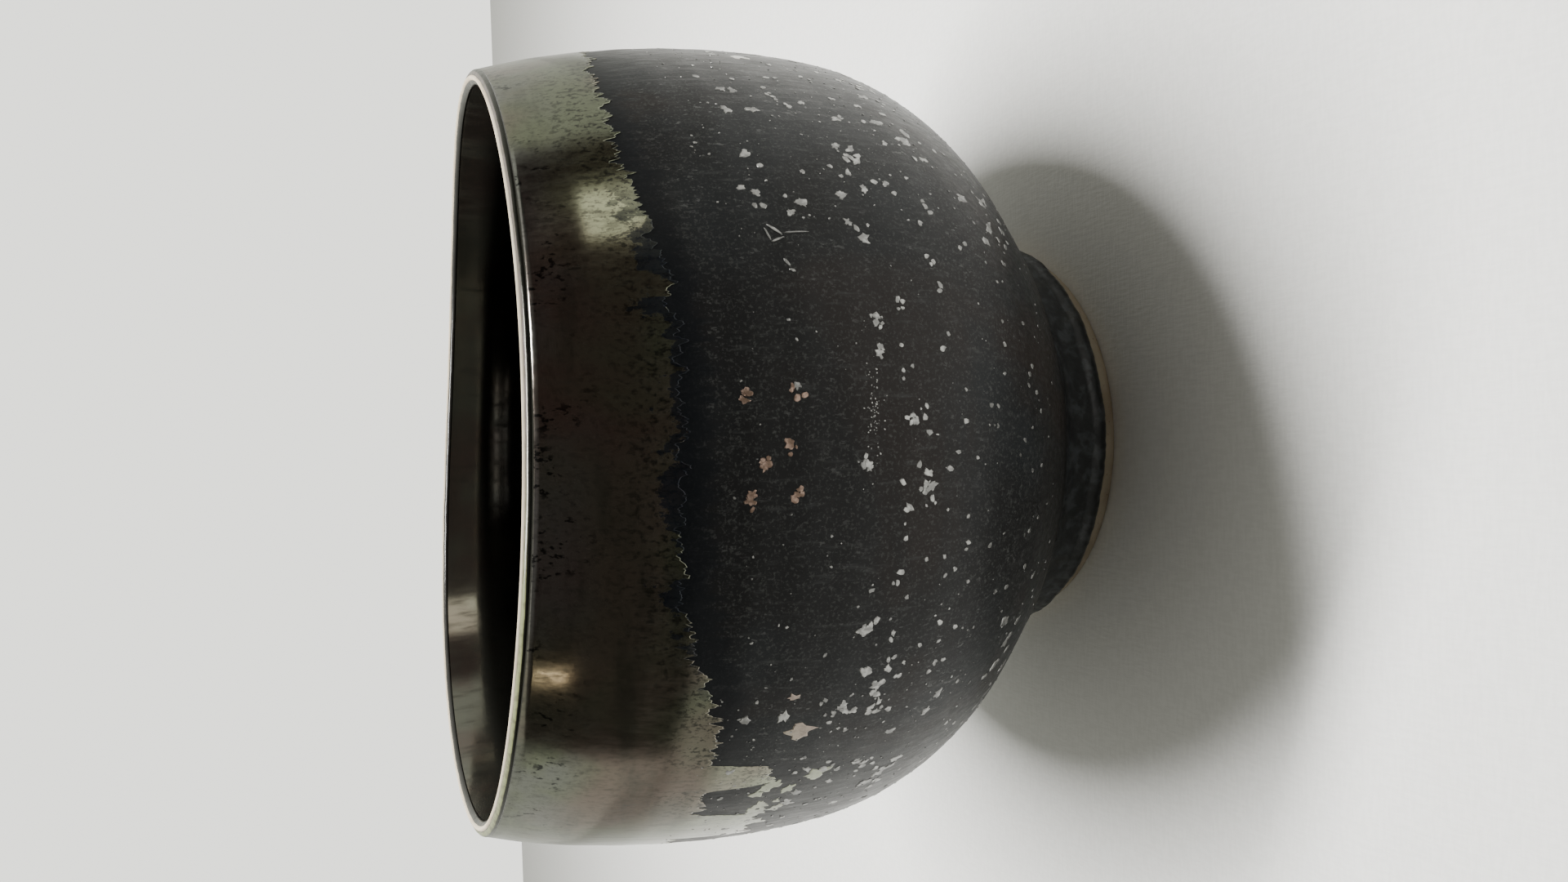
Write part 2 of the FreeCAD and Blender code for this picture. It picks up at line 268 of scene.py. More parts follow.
def make_vessel(material):
    """The clay wall and floor under the glazes, with the turned underside in the foot's recess."""
    path = inside_path(LINING + CLEAR, 12, 12)
    outer = pushed(outside, COATS_TOP, -SATIN - CLEAR)
    top_in, top_out = path[-1], (float(outer[0]), COATS_TOP)
    path += lip_arc(top_out, top_in, 1.0, 9)[::-1]
    path += outside_rows(COATS_TOP - 1, UNDERSIDE + 0.4, 30, -SATIN - CLEAR)
    start = path[-1][0]
    for r in np.linspace(start - 0.5, 1.5, 46):
        step = 0.10 * math.sin(r * 2.6)
        boss = BOSS * float(1 - smooth(1.2, 5.5, r))
        path.append((r, UNDERSIDE - boss + step))
    radius, height, angles = rings(path, 240)
    under = height < UNDERSIDE + 0.3
    height = height + under * 0.10 * np.sin(radius * 2.6 + angles[None, :])
    return spin("vessel_clay", radius, height, angles, material, "clay_vessel", loop=False)


def make_lining(material):
    """The gloss lining, with the spiral that the fingers left inside."""
    front_side = inside_path(0.0, 60, 60)
    back_side = inside_path(LINING, 10, 14)[::-1]
    radius, height, angles = rings(front_side + back_side, 400)
    count = len(front_side)
    travel = np.cumsum(np.hypot(np.gradient(radius[:count, 0]), np.gradient(height[:count, 0])))[:, None]
    fade = smooth(2, 10, travel) * (1 - smooth(travel.max() - 12, travel.max() - 3, travel))
    ripple = 0.07 * np.sin(travel * 0.95 + angles[None, :]) * fade
    radius[:count] += ripple * 0.7
    height[:count] += ripple * 0.7
    return spin("lining_gloss", radius, height, angles, material, "lining_glaze", loop=False)


def make_satin(material, edge):
    """The satin coat, over the whole outside. It runs on under the lustre band."""
    angles = np.linspace(-math.pi, math.pi, 720, endpoint=False)
    levels = np.linspace(COAT_START + 0.3, COATS_TOP, 110)
    outer_r, outer_z = pushed(outside, levels, 0.0)
    inner_levels = np.linspace(COATS_TOP, COAT_START + 0.3, 12)
    inner_r, inner_z = pushed(outside, inner_levels, -SATIN)
    path_r = np.concatenate([outer_r, inner_r])
    path_z = np.concatenate([outer_z, np.minimum(inner_z, COATS_TOP)])
    radius = np.repeat(path_r[:, None], len(angles), axis=1)
    height = np.repeat(path_z[:, None], len(angles), axis=1)
    piece = spin("satin_coat", radius, height, angles, material, "satin_glaze", loop=True)
    add_edge_distance(piece, edge)
    return piece


# The lustre band's lower edge: its heights beside, in front and on the right, and two tongues on the left,
# as (degrees from the front, half width in degrees, drop).
BAND_BESIDE, BAND_IN_FRONT, BAND_RIGHT = 70.0, 77.0, 81.0
TONGUES = [(-59.0, 5.5, 9.0), (-43.5, 2.2, 8.0)]


def band_line(degrees):
    """Height of the lustre band's lower edge before it is broken up, by degrees from the front."""
    line = BAND_BESIDE + (BAND_IN_FRONT - BAND_BESIDE) * smooth(-40, -14, degrees)
    line = line + (BAND_RIGHT - BAND_IN_FRONT) * smooth(12, 38, degrees)
    line = line - (BAND_RIGHT - BAND_BESIDE) * smooth(45, 140, degrees)
    for middle, half_width, drop in TONGUES:
        line = line - drop * (1 - smooth(half_width - 0.8, half_width + 0.8, abs(degrees - middle)))
    return line


def band_edge(angle):
    """Height of the lustre band's ragged lower edge at an angle in radians: band_line() broken into teeth."""
    degrees = (np.degrees(angle) - FRONT + 180) % 360 - 180
    line = band_line(degrees + 0.8 * wander(angle, 30, 6.6))
    blocks = np.round(wander(angle, 45, 3.7, 2) * 3.0) * 0.38
    teeth = np.round(wander(angle, 130, 8.1, 2) * 3.0) * 0.24 + wander(angle, 210, 2.9, 4) * 0.42
    drips = np.clip(wander(angle, 70, 1.3, 2) - 0.2, 0, 1) * -1.6
    return line + blocks + teeth + drips


def make_band(material, angles, edge):
    """The second dip: a film of lustre that feathers out in teeth and drips at its lower edge."""
    share = np.append(np.linspace(0, 1, 34)[:-1] ** 1.5, [0.998, 1.0])
    levels = edge[None, :] + (COATS_TOP - edge[None, :]) * share[:, None]
    film = THIN_EDGE + (LUSTRE - THIN_EDGE) * smooth(72, 88, levels)
    outer_r, outer_z = pushed(outside, levels, film)
    back_share = np.linspace(1, 0, 7)[:, None]
    back_levels = edge[None, :] + (COATS_TOP - edge[None, :]) * back_share
    inner_r, inner_z = pushed(outside, back_levels, -TUCK)
    radius = np.concatenate([outer_r, inner_r])
    height = np.minimum(np.concatenate([outer_z, inner_z]), COATS_TOP)
    piece = spin("lustre_film", radius, height, angles, material, "lustre_band", loop=True)
    add_edge_distance(piece, (angles, edge))
    return piece


def add_edge_distance(piece, edge):
    """Stores on each vertex how far it is above the band's lower edge, in millimetres, as edge_mm."""
    angles, heights = edge
    mesh = piece.data
    xyz = np.empty(len(mesh.vertices) * 3)
    mesh.vertices.foreach_get("co", xyz)
    xyz = xyz.reshape(-1, 3) / MM
    around = np.arctan2(xyz[:, 1], xyz[:, 0])
    level = np.interp(around, angles, heights, period=2 * math.pi)
    mesh.attributes.new("edge_mm", "FLOAT", "POINT").data.foreach_set("value", xyz[:, 2] - level)


def make_lip(material):
    """The thin glaze over the lip."""
    start = COATS_TOP - EDGE_ROW / 2
    outer = (float(pushed(outside, start, LUSTRE)[0]) + 0.01, start)
    inner = (float(inside(COATS_TOP)) - 0.01, start)
    top = lip_arc(outer, inner, LIP_TOP - start, LIP_ROWS)
    top = [(outer[0], start - EDGE_ROW)] + top[1:-1] + [(inner[0], start - EDGE_ROW)]
    clay_out = (outer[0] - LUSTRE - SATIN, start - EDGE_ROW)
    clay_in = (inner[0] + LINING, start - EDGE_ROW)
    under = lip_arc(clay_out, clay_in, 0.9, LIP_UNDER_ROWS)[::-1]
    radius, height, angles = rings(top + under, 720)
    swell = np.sin(np.linspace(0, math.pi, LIP_ROWS))[:, None]
    height[:LIP_ROWS] += 0.05 * wander(angles, 14, 5.5)[None, :] * swell
    piece = spin("lip_film", radius, height, angles, material, "lip_glaze", loop=True)
    share = np.concatenate([np.linspace(0, 1, LIP_ROWS), np.linspace(1, 0, LIP_UNDER_ROWS)])
    share = np.repeat(share, len(angles))
    piece.data.attributes.new("lip_share", "FLOAT", "POINT").data.foreach_set("value", share)
    return piece


def make_foot_coat(material):
    """The glaze over the foot: pooled in the corner above, and a thick ragged roll at its lower edge."""
    angles = np.linspace(-math.pi, math.pi, 900, endpoint=False)
    ragged = 0.22 * wander(angles, 6, 2.2, 4) + 0.10 * np.clip(wander(angles, 30, 9.4, 3), -1, 1)
    lower = BARE_HEIGHT - FOOT_COAT_DROP + ragged
    thick = 1 + 0.35 * wander(angles, 7, 6.1, 3)
    flank = FOOT_CLAY + FOOT_COAT
    rows_r, rows_z = [], []

    def add_row(r, z):
        rows_r.append(np.broadcast_to(r, angles.shape))
        rows_z.append(np.broadcast_to(z, angles.shape))

    for t in np.linspace(0, 1, 12):
        bulge = ROLL_BULGE * np.sin(math.pi * min(1.0, t * 1.05)) * (1 - 0.55 * t)
        cover = FOOT_COAT * math.sqrt(min(1.0, t * 2.2))
        add_row(FOOT_CLAY + cover * thick + bulge * thick, lower + t ** 1.15 * ROLL_HEIGHT)
    turn = math.atan(FACET_SLOPE)
    corner = COAT_START + (flank - float(outside(COAT_START))) / FACET_SLOPE
    start = corner - CORNER_FILLET * math.tan(turn / 2)
    for t in np.linspace(0, turn, 14):
        add_row(flank + CORNER_FILLET - CORNER_FILLET * math.cos(t), start + CORNER_FILLET * math.sin(t))
    end = start + CORNER_FILLET * math.sin(turn)
    for z, distance in ((end + 1.2, 0.03), (end + 2.4, -0.05), (end + 1.2, -0.3), (COAT_START + 0.8, -0.4)):
        add_row(*pushed(outside, z, distance))
    for z in (COAT_START - 0.6, 7.0, 5.0, lower + 0.1):
        add_row(FOOT_CLAY - 0.1, z)
    radius, height = np.array(rows_r), np.array(rows_z)
    return spin("foot_coat", radius, height, angles, material, "foot_glaze", loop=True)


def make_foot_clay(material):
    """The bare clay of the foot ring, with its chamfer, standing face and inner wall."""
    edge = BASE_ROUNDING
    path = [(FOOT_CLAY, COAT_START + 0.2), (FOOT_CLAY, 7), (FOOT_CLAY, BARE_HEIGHT + 0.5)]
    for t in np.linspace(0, 1, 8):
        path.append((FOOT_CLAY - (FOOT_CLAY - BASE_OUTER) * t ** 0.8, BARE_HEIGHT * (1 - t) + edge * t))
    for t in np.linspace(0.2, 1, 5) * math.pi / 2:
        path.append((BASE_OUTER - edge + edge * math.cos(t), edge - edge * math.sin(t)))
    path += [(r, 0.0) for r in np.linspace(BASE_OUTER - 1, BASE_INNER + 0.4, 9)]
    for t in np.linspace(0, 1, 5) * math.pi / 2:
        path.append((BASE_INNER - edge * math.sin(t), edge - edge * math.cos(t)))
    for t in np.linspace(0.1, 1, 8):
        path.append((BASE_INNER - edge - (BASE_INNER - edge - RECESS) * t, edge + (UNDERSIDE - 0.1) * t))
    path += [(RECESS + 1.5, UNDERSIDE + 0.5), (FOOT_CLAY - 4.5, UNDERSIDE + 0.6)]
    radius, height, angles = rings(path, 720)
    grain = 0.045 * wander(angles, 40, 4.4, 3)[None, :]
    shown = (height > 0.05) & (height < BARE_HEIGHT + 1)
    radius = radius + grain * shown
    return spin("foot_clay", radius, height, angles, material, "foot_ring", loop=True)


# ---------------------------------------------------------------- crystals

SPECK, SMALL = 0.22, 0.45                      # flakes below these sizes are drawn with fewer corners
SPECK_CORNERS, SMALL_CORNERS, CORNERS, SLIVER_CORNERS = 5, 8, 18, 12


def leaned(points, lean):
    """(across, up) points turned about the origin by an angle in radians."""
    c, d = math.cos(lean), math.sin(lean)
    return [(across * c - up * d, across * d + up * c) for across, up in points]


def blob(chance, size, corners, lobes):
    """An irregular outline round the origin as (across, up) points, in millimetres."""
    phases = [chance.uniform(0, 2 * math.pi) for _ in range(4)]
    deep = [chance.uniform(0.3, 1) * lobes for _ in range(4)]
    stretch = chance.uniform(0.9, 1.7)
    lean = chance.gauss(0, 0.5)
    outline = []
    for i in range(corners):
        t = 2 * math.pi * (i + chance.uniform(-0.3, 0.3)) / corners
        reach = 1 + sum(d * math.cos((k + 2) * t + p) for k, (d, p) in enumerate(zip(deep, phases)))
        reach = max(reach * chance.uniform(0.72, 1.18), 0.3) * size
        outline.append((reach * math.cos(t), reach * math.sin(t) * stretch))
    return leaned(outline, lean)


def on_wall(angle, height, across, up, distance):
    """A point near (angle in radians, height) on the outside, moved across and up along the wall."""
    z = height + up * 0.9
    r, level = pushed(outside, z, distance)
    return float(angle + across / outside(height)), float(r), float(level)


def make_crystals(name, places, chance, material, node):
    """Thin closed flakes lying on the glaze. Each place is (angle, height, size, thickness), with (length,
    lean) after it for a straight sliver, which has that outline in place of the blob drawn first."""
    polar, faces = [], []
    for angle, height, size, thickness, *bar in places:
        corners = SPECK_CORNERS if size < SPECK else SMALL_CORNERS if size < SMALL else CORNERS
        outline = blob(chance, size, corners, 0.06 if size < SMALL else 0.2)
        if bar:
            length, lean = bar
            corners = SLIVER_CORNERS
            turns = [2 * math.pi * i / corners for i in range(corners)]
            flat = [(length / 2 * math.cos(t), size * math.sin(t) * chance.uniform(0.7, 1.2)) for t in turns]
            outline = leaned(flat, lean)
        start = len(polar)
        polar += [on_wall(angle, height, a, u, 0.0) for a, u in outline]
        polar += [on_wall(angle, height, a * 0.86, u * 0.86, thickness) for a, u in outline]
        polar.append(on_wall(angle, height, 0, 0, thickness * 1.05))
        polar.append(on_wall(angle, height, 0, 0, -0.05))
        top, bottom = start + 2 * corners, start + 2 * corners + 1
        for i in range(corners):
            j = (i + 1) % corners
            faces.append([start + i, start + j, start + corners + j, start + corners + i])
            faces.append([start + corners + i, start + corners + j, top])
            faces.append([start + j, start + i, bottom])
    polar = np.array(polar)
    x, y, z = handmade(polar[:, 0], polar[:, 1], polar[:, 2])
    piece = put_mesh(name, np.stack([x, y, z], -1), faces, material, node)
    piece.data.polygons.foreach_set("use_smooth", [False] * len(piece.data.polygons))
    return piece


def front(degrees):
    """The angle in radians of a place so many degrees to the right of the front."""
    return math.radians(FRONT + degrees)


SCAR, SCAR_THICKNESS = (23, 63.5), 0.09        # (degrees from the front, height)


def scar_places():
    """The pale scar on the right of the front: a small triangle of burst glaze with a run below it."""
    angle, height = front(SCAR[0]), SCAR[1]
    bars = [(-0.6, 0.7, 0.16, 2.0, 1.9), (0.7, 0.9, 0.20, 2.4, 0.9), (0.1, 1.8, 0.14, 1.9, 0.35)]
    bars += [(0.35, -1.6, 0.10, 3.6, 1.62), (-3.6, 0.1, 0.20, 1.3, 0.6), (-4.6, -0.4, 0.18, 0.9, 1.2)]
    places = []
    for across, up, half_width, length, lean in bars:
        places.append((angle + across / BELLY, height + up, half_width, SCAR_THICKNESS, length, lean))
    return places


# The flakes on the front gather in clusters, in a belt below the band that is richest on the two flanks.
CLUSTER_COUNT, CLUSTER_REACH = 38, 52.0
CLUSTER_LOW, CLUSTER_HIGH, CLUSTER_MIDDLE = 38.0, 68.0, 48.0
# The copper blots lie in two loose rows of three on the front, under the band.
COPPER_ROWS, COPPER_STEP, COPPER_SIZE = (69.5, 64.0), 6.5, 0.78
COPPER_FLAKES = 6                              # in each blot
# Numbers of scattered flakes: behind and beside, in front, in a line of dust, and specks all round.
SCATTERED, IN_FRONT, DUST, SPECKS = 420, 60, 70, 3000
DUST_MIDDLE = (3, 55)                          # (degrees from the front, height)
ISLANDS, ISLANDS_MIDDLE = 46, -54
CLEAR_OF_EDGE = 9.0                            # edge_mm of the islands, as for lustre far from its edge


def silver_places(chance):
    """The clusters, a looser scatter, and crowds of specks that are thickest away from the front."""
    places = []
    for step in range(CLUSTER_COUNT):
        degrees = CLUSTER_REACH * (2 * (step + chance.random()) / CLUSTER_COUNT - 1)
        flank = float(smooth(15, 45, abs(degrees)))
        height = chance.triangular(CLUSTER_LOW, CLUSTER_HIGH, CLUSTER_MIDDLE + 4 * flank)
        spread = 0.8 + 2.0 * flank
        size = chance.uniform(0.5, 0.75)
        for _ in range(chance.choice((1, 2, 3)) + round(2.5 * flank)):
            angle = front(degrees) + chance.gauss(0, spread) / BELLY
            up = height + chance.gauss(0, spread * 0.7)
            mean = size * chance.uniform(0.7, 1.15)
            for _ in range(chance.choice((1, 2, 2, 3))):
                aside, over = chance.gauss(0, 0.7 * mean), chance.gauss(0, 0.7 * mean)
                places.append((angle + aside / BELLY, up + over, mean * chance.uniform(0.45, 0.85)))
    for _ in range(SCATTERED):
        degrees = chance.uniform(24, 336)
        places.append((front(degrees), 27 + 41 * chance.random() ** 1.1, chance.uniform(0.25, 0.75)))
    for _ in range(IN_FRONT):
        places.append((front(chance.uniform(-25, 25)), 26 + 26 * chance.random(), chance.uniform(0.2, 0.4)))
    for _ in range(DUST):
        angle = front(DUST_MIDDLE[0]) + chance.gauss(0, 3.2) / BELLY
        up = DUST_MIDDLE[1] + chance.gauss(0, 0.6)
        places.append((angle, up, chance.uniform(0.05, 0.12)))
    for _ in range(SPECKS):
        degrees = chance.uniform(-180, 180)
        crowd = 0.25 + 0.75 * float(smooth(10, 42, abs(degrees)))
        height = 20 + 52 * chance.random()
        size = 0.07 + 0.15 * chance.random() ** 2
        if chance.random() < crowd:
            places.append((front(degrees), height, size))
    return [(a, h, s, chance.uniform(0.03, 0.07)) for a, h, s in places] + scar_places()


def copper_places(chance):
    """Six small heaps of coppery flakes."""
    places = []
    for row in COPPER_ROWS:
        for step in (-1, 0, 1):
            degrees = step * COPPER_STEP + chance.uniform(-2, 1)
            height = row + chance.gauss(0, 1.0)
            for _ in range(COPPER_FLAKES):
                angle = front(degrees) + chance.gauss(0, 0.5) / BELLY
                reach = COPPER_SIZE * chance.uniform(0.25, 0.6)
                places.append((angle, height + chance.gauss(0, 0.5), reach, chance.uniform(0.05, 0.09)))
    return places


def island_places(chance):
    """Islands of lustre that ran on below the band's edge, mostly on the left."""
    places = []
    for _ in range(ISLANDS):
        degrees = chance.choice((chance.gauss(ISLANDS_MIDDLE, 7), chance.uniform(60, 300)))
        height = 63 - 4 * abs(chance.gauss(0, 0.8))
        places.append((front(degrees), height, chance.uniform(0.4, 1.3), 0.03))
    return places


# ---------------------------------------------------------------- materials

class Nodes:
    """Short calls for the nodes of one material or world. coordinates names what its patterns follow."""

    def __init__(self, tree, coordinates):
        self.nodes = tree.nodes
        self.links = tree.links
        self.place = self.nodes.new("ShaderNodeTexCoord").outputs[coordinates]

    def set(self, socket, value):
        if isinstance(value, bpy.types.NodeSocket):
            self.links.new(value, socket)
        elif isinstance(value, tuple) and len(value) == 3 and socket.type == "RGBA":
            socket.default_value = (*value, 1)
        else:
            socket.default_value = value

    def scaled(self, x, y, z):
        node = self.nodes.new("ShaderNodeMapping")
        node.inputs["Scale"].default_value = (x, y, z)
        self.links.new(self.place, node.inputs["Vector"])
        return node.outputs["Vector"]

    def noise(self, scale, detail=3.0, stretch=(1, 1, 1), rough=0.55, twist=0.0):
        """Noise of about -scale- blobs per metre, stretched by dividing an axis's scale."""
        node = self.nodes.new("ShaderNodeTexNoise")
        node.inputs["Scale"].default_value = 1.0
        node.inputs["Detail"].default_value = detail
        node.inputs["Roughness"].default_value = rough
        node.inputs["Distortion"].default_value = twist
        self.links.new(self.scaled(*(scale / s for s in stretch)), node.inputs["Vector"])
        return node.outputs["Fac"]

    def cells(self, scale):
        """Distance to the nearest of scattered points, about -scale- of them per metre."""
        node = self.nodes.new("ShaderNodeTexVoronoi")
        node.inputs["Scale"].default_value = 1.0
        self.links.new(self.scaled(scale, scale, scale), node.inputs["Vector"])
        return node.outputs["Distance"]

    def math(self, operation, a, b=0.0, c=0.0):
        node = self.nodes.new("ShaderNodeMath")
        node.operation = operation
        for socket, value in zip(node.inputs, (a, b, c)):
            self.set(socket, value)
        return node.outputs[0]

    def times(self, a, b):
        return self.math("MULTIPLY", a, b)

    def plus(self, a, b):
        return self.math("ADD", a, b)

    def ramp(self, value, start, end, first=0.0, last=1.0):
        """first up to start, last from end on, and a smooth change between."""
        node = self.nodes.new("ShaderNodeMapRange")
        node.interpolation_type = "SMOOTHSTEP"
        for socket, number in zip(list(node.inputs)[:5], (value, start, end, first, last)):
            self.set(socket, number)
        return node.outputs[0]

    def mix(self, share, first, second):
        node = self.nodes.new("ShaderNodeMix")
        node.data_type = "RGBA"
        self.set(node.inputs["Factor"], share)
        self.set(node.inputs["A"], first)
        self.set(node.inputs["B"], second)
        return node.outputs["Result"]

    def over(self, color, where, strength, paint):
        """A colour with a paint laid over it where the map says, at a strength from 0 to 1."""
        return self.mix(self.times(where, strength), color, paint)

    def axis(self, name):
        node = self.nodes.new("ShaderNodeSeparateXYZ")
        self.links.new(self.place, node.inputs[0])
        return node.outputs[name]

    def attribute(self, name):
        node = self.nodes.new("ShaderNodeAttribute")
        node.attribute_name = name
        return node.outputs["Fac"]


class Shader(Nodes):
    """A node material for one glaze or clay, with patterns that follow the object."""

    def __init__(self, name, color, roughness, metallic=0.0):
        self.material = bpy.data.materials.new(name)
        self.material.use_nodes = True
        super().__init__(self.material.node_tree, "Object")
        self.surface = self.nodes["Principled BSDF"]
        self.surface.inputs["Base Color"].default_value = (*color, 1)
        self.surface.inputs["Roughness"].default_value = roughness
        self.surface.inputs["Metallic"].default_value = metallic

    def bump(self, height, strength, distance):
        """Relief from a pattern. distance is its depth in millimetres."""
        node = self.nodes.new("ShaderNodeBump")
        node.inputs["Strength"].default_value = strength
        node.inputs["Distance"].default_value = distance * MM
        self.links.new(height, node.inputs["Height"])
        self.links.new(node.outputs["Normal"], self.surface.inputs["Normal"])

    def finish(self, color=None, roughness=None, metallic=None):
        for name, value in (("Base Color", color), ("Roughness", roughness), ("Metallic", metallic)):
            if value is not None:
                self.set(self.surface.inputs[name], value)
        return self.material


def satin_look():
    """Matt black with brown clouds, blue-grey clouds of painted sheen, fine upright streaks and pale dust."""
    s = Shader("satin_black", (0.014, 0.014, 0.014), 0.38)
    s.surface.inputs["Specular IOR Level"].default_value = 0.12
    # The lighter, blue-grey side of these clouds is painted sheen: the dim bluish haze of the satin's
    # reflection, laid into its colour.
    clouds = s.ramp(s.noise(38, 2), 0.42, 0.66)
    brown = s.ramp(s.noise(30, 3, twist=0.6), 0.5, 0.66)
    color = s.mix(clouds, (0.0065, 0.0065, 0.007), (0.0105, 0.0120, 0.0135))
    color = s.over(color, brown, 0.6, (0.0150, 0.0100, 0.0085))
    streaks = s.noise(1300, 4, stretch=(1, 1, 7), rough=0.65)
    color = s.over(color, s.ramp(streaks, 0.54, 0.76), 0.6, (0.036, 0.038, 0.038))
    grain = s.noise(2600, 4, rough=0.7)
    color = s.over(color, s.ramp(grain, 0.52, 0.64), 0.55, (0.048, 0.050, 0.048))
    dashes = s.ramp(s.noise(1700, 4, stretch=(1, 1, 2.2), rough=0.65), 0.61, 0.66)
    sides = s.ramp(s.math("ABSOLUTE", s.axis("X")), 0.012, 0.042, 0.35, 1.0)
    crowds = s.ramp(s.noise(90, 2), 0.40, 0.60, 0.3, 1.0)
    dashes = s.times(dashes, s.times(crowds, sides))
    color = s.over(color, dashes, 0.8, (0.115, 0.117, 0.115))
    edge = s.attribute("edge_mm")
    fringe = s.ramp(s.plus(edge, s.times(s.noise(700, 3, stretch=(1, 1, 6)), 5)), -2.4, 0.4)
    color = s.over(color, fringe, 0.85, (0.0035, 0.0046, 0.0064))
    rough = s.ramp(streaks, 0.3, 0.75, 0.42, 0.30)
    relief = s.plus(s.times(s.noise(420, 4), 1.0), s.times(grain, 0.22))
    relief = s.plus(relief, s.times(streaks, 0.35))
    s.bump(relief, 0.45, 0.10)
    return s.finish(color, rough)


def band_look():
    """Dark olive mirror with soft brush marks and brown clouds. It is hazy and flecked near the lip, and has
    blue-black patches along its edge where X is small, at the front and the back. They are partly the glaze's
    own blue-black and partly painted shade, kept off the lit flanks."""
    s = Shader("lustre_olive", (0.12, 0.11, 0.08), 0.16, 1.0)
    clouds = s.ramp(s.noise(45, 2, twist=0.5), 0.4, 0.65)
    color = s.mix(clouds, (0.182, 0.196, 0.142), (0.205, 0.165, 0.142))
    haze = s.times(s.ramp(s.axis("Z"), 0.0835, 0.0900), s.ramp(s.noise(70, 3), 0.40, 0.60))
    color = s.over(color, haze, 0.7, (0.215, 0.215, 0.215))
    brush = s.noise(230, 4, stretch=(5, 5, 1), rough=0.6)
    color = s.over(color, s.ramp(brush, 0.5, 0.66), 0.45, (0.095, 0.097, 0.082))
    streaks = s.noise(900, 5, stretch=(1, 1, 5), rough=0.65)
    color = s.over(color, s.ramp(streaks, 0.52, 0.70), 0.45, (0.080, 0.080, 0.068))
    edge = s.attribute("edge_mm")
    grain = s.noise(1900, 5, stretch=(1, 1, 1.5), rough=0.7)
    near_edge = s.ramp(edge, 1.0, 9.0, 1.0, 0.3)
    mottle = s.times(s.ramp(grain, 0.50, 0.60), near_edge)
    color = s.over(color, mottle, 0.85, (0.045, 0.045, 0.040))
    # Painted shade: the blue-black patches are kept where X is small, at the front and the back, off the lit
    # flanks.
    middle = s.ramp(s.math("ABSOLUTE", s.axis("X")), 0.020, 0.034, 1.0, 0.0)
    patches = s.plus(s.times(s.noise(330, 5, stretch=(1, 1, 1.5), rough=0.65), 16.0), -7.2)
    blue_black_and_painted_shade = s.ramp(s.math("SUBTRACT", edge, patches), 0.0, 0.7, 1.0, 0.0)
    blue_black_and_painted_shade = s.times(blue_black_and_painted_shade, middle)
    color = s.over(color, blue_black_and_painted_shade, 0.92, (0.016, 0.019, 0.027))
    flecks = s.ramp(s.noise(1250, 4, stretch=(1, 1, 2.0), rough=0.65), 0.565, 0.605)
    flecks = s.times(flecks, s.ramp(s.noise(130, 2), 0.46, 0.58))
    flecks = s.times(flecks, s.ramp(s.axis("Z"), 0.0825, 0.0895))
    color = s.over(color, flecks, 0.85, (0.012, 0.013, 0.014))
    rough = s.ramp(streaks, 0.35, 0.75, 0.13, 0.22)
    rough = s.plus(rough, s.times(blue_black_and_painted_shade, 0.14))
    relief = s.plus(s.noise(260, 2, stretch=(1, 1, 1.5)), s.times(grain, 0.18))
    s.bump(relief, 0.14, 0.10)
    return s.finish(color, rough)


def lining_look():
    """Black mirror gloss, with the lustre's olive and brown in a ragged belt under the lip."""
    s = Shader("lining_black", (0.012, 0.012, 0.012), 0.14, 0.9)
    clouds = s.ramp(s.noise(60, 3, twist=0.4), 0.42, 0.66)
    belt = s.mix(clouds, (0.150, 0.152, 0.128), (0.135, 0.112, 0.098))
    streaks = s.noise(700, 4, stretch=(1, 1, 6))
    belt = s.over(belt, s.ramp(streaks, 0.5, 0.75), 0.5, (0.060, 0.060, 0.050))
    level = s.plus(s.axis("Z"), s.times(s.noise(90, 4, stretch=(1, 1, 3)), 0.010))
    black = s.mix(clouds, (0.008, 0.008, 0.008), (0.013, 0.011, 0.010))
    color = s.mix(s.ramp(level, 0.0845, 0.0915), black, belt)
    s.bump(s.noise(300, 3), 0.10, 0.10)
    return s.finish(color, s.ramp(streaks, 0.4, 0.8, 0.12, 0.24))


def lip_look():
    """A thin line along the top of the lip where the glaze breaks, olive on the left and rosy on the right.
    Outside it is a dark lustre, and inside it is nearly as dark as the lining."""
    s = Shader("lip_olive", (0.1, 0.1, 0.06), 0.26)
    s.surface.inputs["Specular IOR Level"].default_value = 0.25
    share = s.plus(s.attribute("lip_share"), s.times(s.noise(350, 3), 0.06))
    side = s.ramp(s.plus(s.axis("X"), s.times(s.noise(60, 3), 0.02)), -0.010, 0.014)
    color = s.mix(side, (0.150, 0.162, 0.080), (0.085, 0.072, 0.067))
    patches = s.ramp(s.noise(900, 4), 0.48, 0.62)
    color = s.over(color, patches, 0.55, (0.060, 0.055, 0.036))
    start = s.plus(s.times(side, 0.09), 0.19)
    outer = s.ramp(s.math("SUBTRACT", share, start), -0.03, 0.03)
    color = s.mix(outer, (0.024, 0.024, 0.020), color)
    color = s.mix(s.ramp(share, 0.40, 0.47), color, (0.016, 0.0155, 0.014))
    s.bump(s.noise(500, 3), 0.2, 0.08)
    return s.finish(color, s.ramp(s.noise(600, 2), 0.4, 0.7, 0.18, 0.28), s.ramp(outer, 0.0, 1.0, 0.8, 0.0))


def foot_look():
    """Blue-black satin with a pitted relief and a pale blue-grey mottle of painted highlights."""
    s = Shader("foot_satin", (0.015, 0.016, 0.018), 0.45)
    # Painted highlights: the pale blue-grey mottle stands for the bluish sheen on the foot's glaze.
    mottle = s.ramp(s.noise(520, 5), 0.46, 0.64)
    color = s.mix(mottle, (0.013, 0.0145, 0.016), (0.040, 0.045, 0.049))
    olive = s.ramp(s.noise(140, 3, stretch=(1, 1, 3)), 0.55, 0.72)
    color = s.over(color, olive, 0.6, (0.030, 0.030, 0.020))
    s.bump(s.plus(s.noise(520, 5), s.times(s.cells(900), 0.3)), 0.5, 0.16)
    return s.finish(color, s.ramp(s.noise(700, 3), 0.4, 0.7, 0.3, 0.5))


